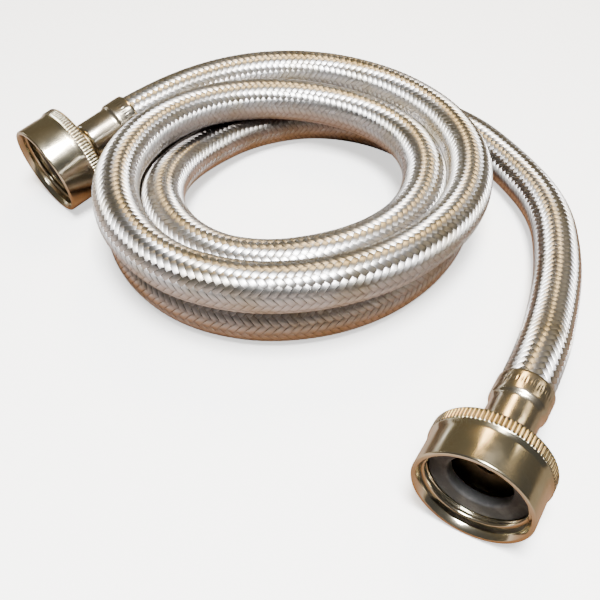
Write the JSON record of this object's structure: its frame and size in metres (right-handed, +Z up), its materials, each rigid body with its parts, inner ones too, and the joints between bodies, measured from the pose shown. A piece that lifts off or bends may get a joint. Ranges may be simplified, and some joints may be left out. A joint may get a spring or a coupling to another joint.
{
  "type": "braided supply line",
  "caption": "Flexible braided hose with a knurled swivel nut, captive washer and crimped ferrule on each end, lying in a loose coil.",
  "frame": {"origin": "on the plane that the line lies on, under the middle of the two end fittings' common box", "axes": "+Z up, +Y from the right-hand fitting's side towards the back of the coil, +X to the right-hand fitting"},
  "size_m": [0.18, 0.1998, 0.0326],
  "materials": {
    "steel_braid": "bright drawn wire braid",
    "liner_polymer": "matt extruded",
    "nut_plating": "nickel plated brass, lightly tarnished",
    "ferrule_plating": "nickel plated, drawn and crimped",
    "stem_brass": "turned",
    "washer_rubber": "matt moulded"
  },
  "bodies": {
    "hose": {"hose_coil": "steel_braid", "left_braid_sleeve": "steel_braid", "left_liner_tube": "liner_polymer", "left_insert_stem": "stem_brass", "left_crimp_ferrule": "ferrule_plating", "right_braid_sleeve": "steel_braid", "right_liner_tube": "liner_polymer", "right_insert_stem": "stem_brass", "right_crimp_ferrule": "ferrule_plating"},
    "left_washer": {"left_sealing_washer": "washer_rubber"},
    "left_nut": {"left_coupling_nut": "nut_plating"},
    "right_washer": {"right_sealing_washer": "washer_rubber"},
    "right_nut": {"right_coupling_nut": "nut_plating"}
  },
  "joints": [
    {"name": "left_nut_play", "type": "slide", "parent": "hose", "child": "left_washer", "axis": [0.7295, 0.6568, 0.1908], "range_m": [0, 0.0025]},
    {"name": "left_nut_turn", "type": "hinge", "parent": "left_washer", "child": "left_nut", "pos_m": [-0.06216, 0.05725, 0.01625], "axis": [-0.7295, -0.6568, -0.1908], "continuous": true},
    {"name": "right_nut_play", "type": "slide", "parent": "hose", "child": "right_washer", "axis": [0.4995, 0.8652, 0.0436], "range_m": [0, 0.0025]},
    {"name": "right_nut_turn", "type": "hinge", "parent": "right_washer", "child": "right_nut", "pos_m": [0.0575, -0.06658, 0.01542], "axis": [-0.4995, -0.8652, -0.0436], "continuous": true}
  ]
}
